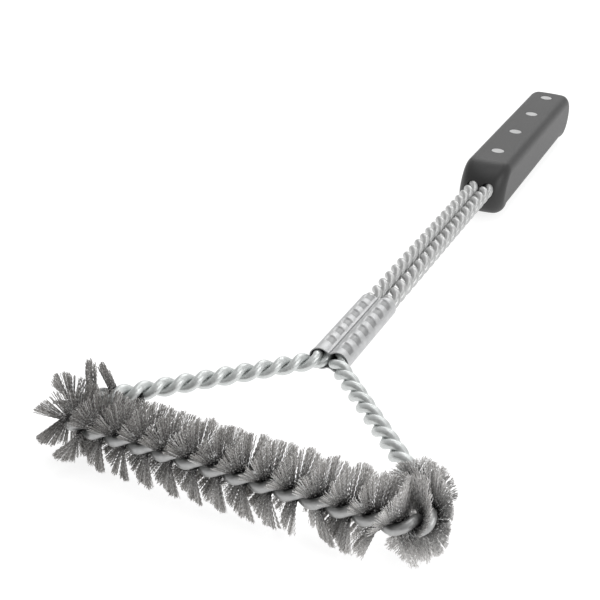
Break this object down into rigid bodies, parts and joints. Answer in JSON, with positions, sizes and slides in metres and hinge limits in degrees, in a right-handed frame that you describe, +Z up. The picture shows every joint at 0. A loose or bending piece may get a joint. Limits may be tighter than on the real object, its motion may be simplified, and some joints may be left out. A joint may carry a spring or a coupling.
{
  "type": "grill cleaning brush",
  "caption": "Long-handled grill cleaning brush: twisted-wire frame bent into a triangular head, crimped steel bristles round the crossbar, pressed ferrule and a moulded grip.",
  "frame": {"origin": "middle of the underside: halfway along and across the brush, on the plane through the lowest bristle tips", "axes": "+X along the crossbar, +Y from the bristle head towards the handle's rear end, +Z up out of the handle's flat top"},
  "size_m": [0.1918, 0.5304, 0.0388],
  "materials": {
    "frame_wire": "galvanised steel wire, semi-bright",
    "bristle_wire": "fine crimped steel wire, dark between the bristles",
    "ferrule_sheet": "bright satin sheet",
    "handle_plastic": "dark grey satin moulding",
    "plug_plastic": "light grey"
  },
  "bodies": {
    "root": {"wire_strand_a": "frame_wire", "wire_strand_b": "frame_wire", "tuft_01": "bristle_wire", "tuft_02": "bristle_wire", "tuft_03": "bristle_wire", "tuft_04": "bristle_wire", "tuft_05": "bristle_wire", "tuft_06": "bristle_wire", "tuft_07": "bristle_wire", "tuft_08": "bristle_wire", "tuft_09": "bristle_wire", "tuft_10": "bristle_wire", "tuft_11": "bristle_wire", "tuft_12": "bristle_wire", "tuft_13": "bristle_wire", "tuft_14": "bristle_wire", "tuft_15": "bristle_wire", "tuft_16": "bristle_wire", "tuft_17": "bristle_wire", "tuft_18": "bristle_wire", "tuft_19": "bristle_wire", "tuft_20": "bristle_wire", "tuft_21": "bristle_wire", "tuft_22": "bristle_wire", "ferrule": "ferrule_sheet", "handle": "handle_plastic", "plug_1": "plug_plastic", "plug_2": "plug_plastic", "plug_3": "plug_plastic", "plug_4": "plug_plastic"}
  },
  "joints": []
}
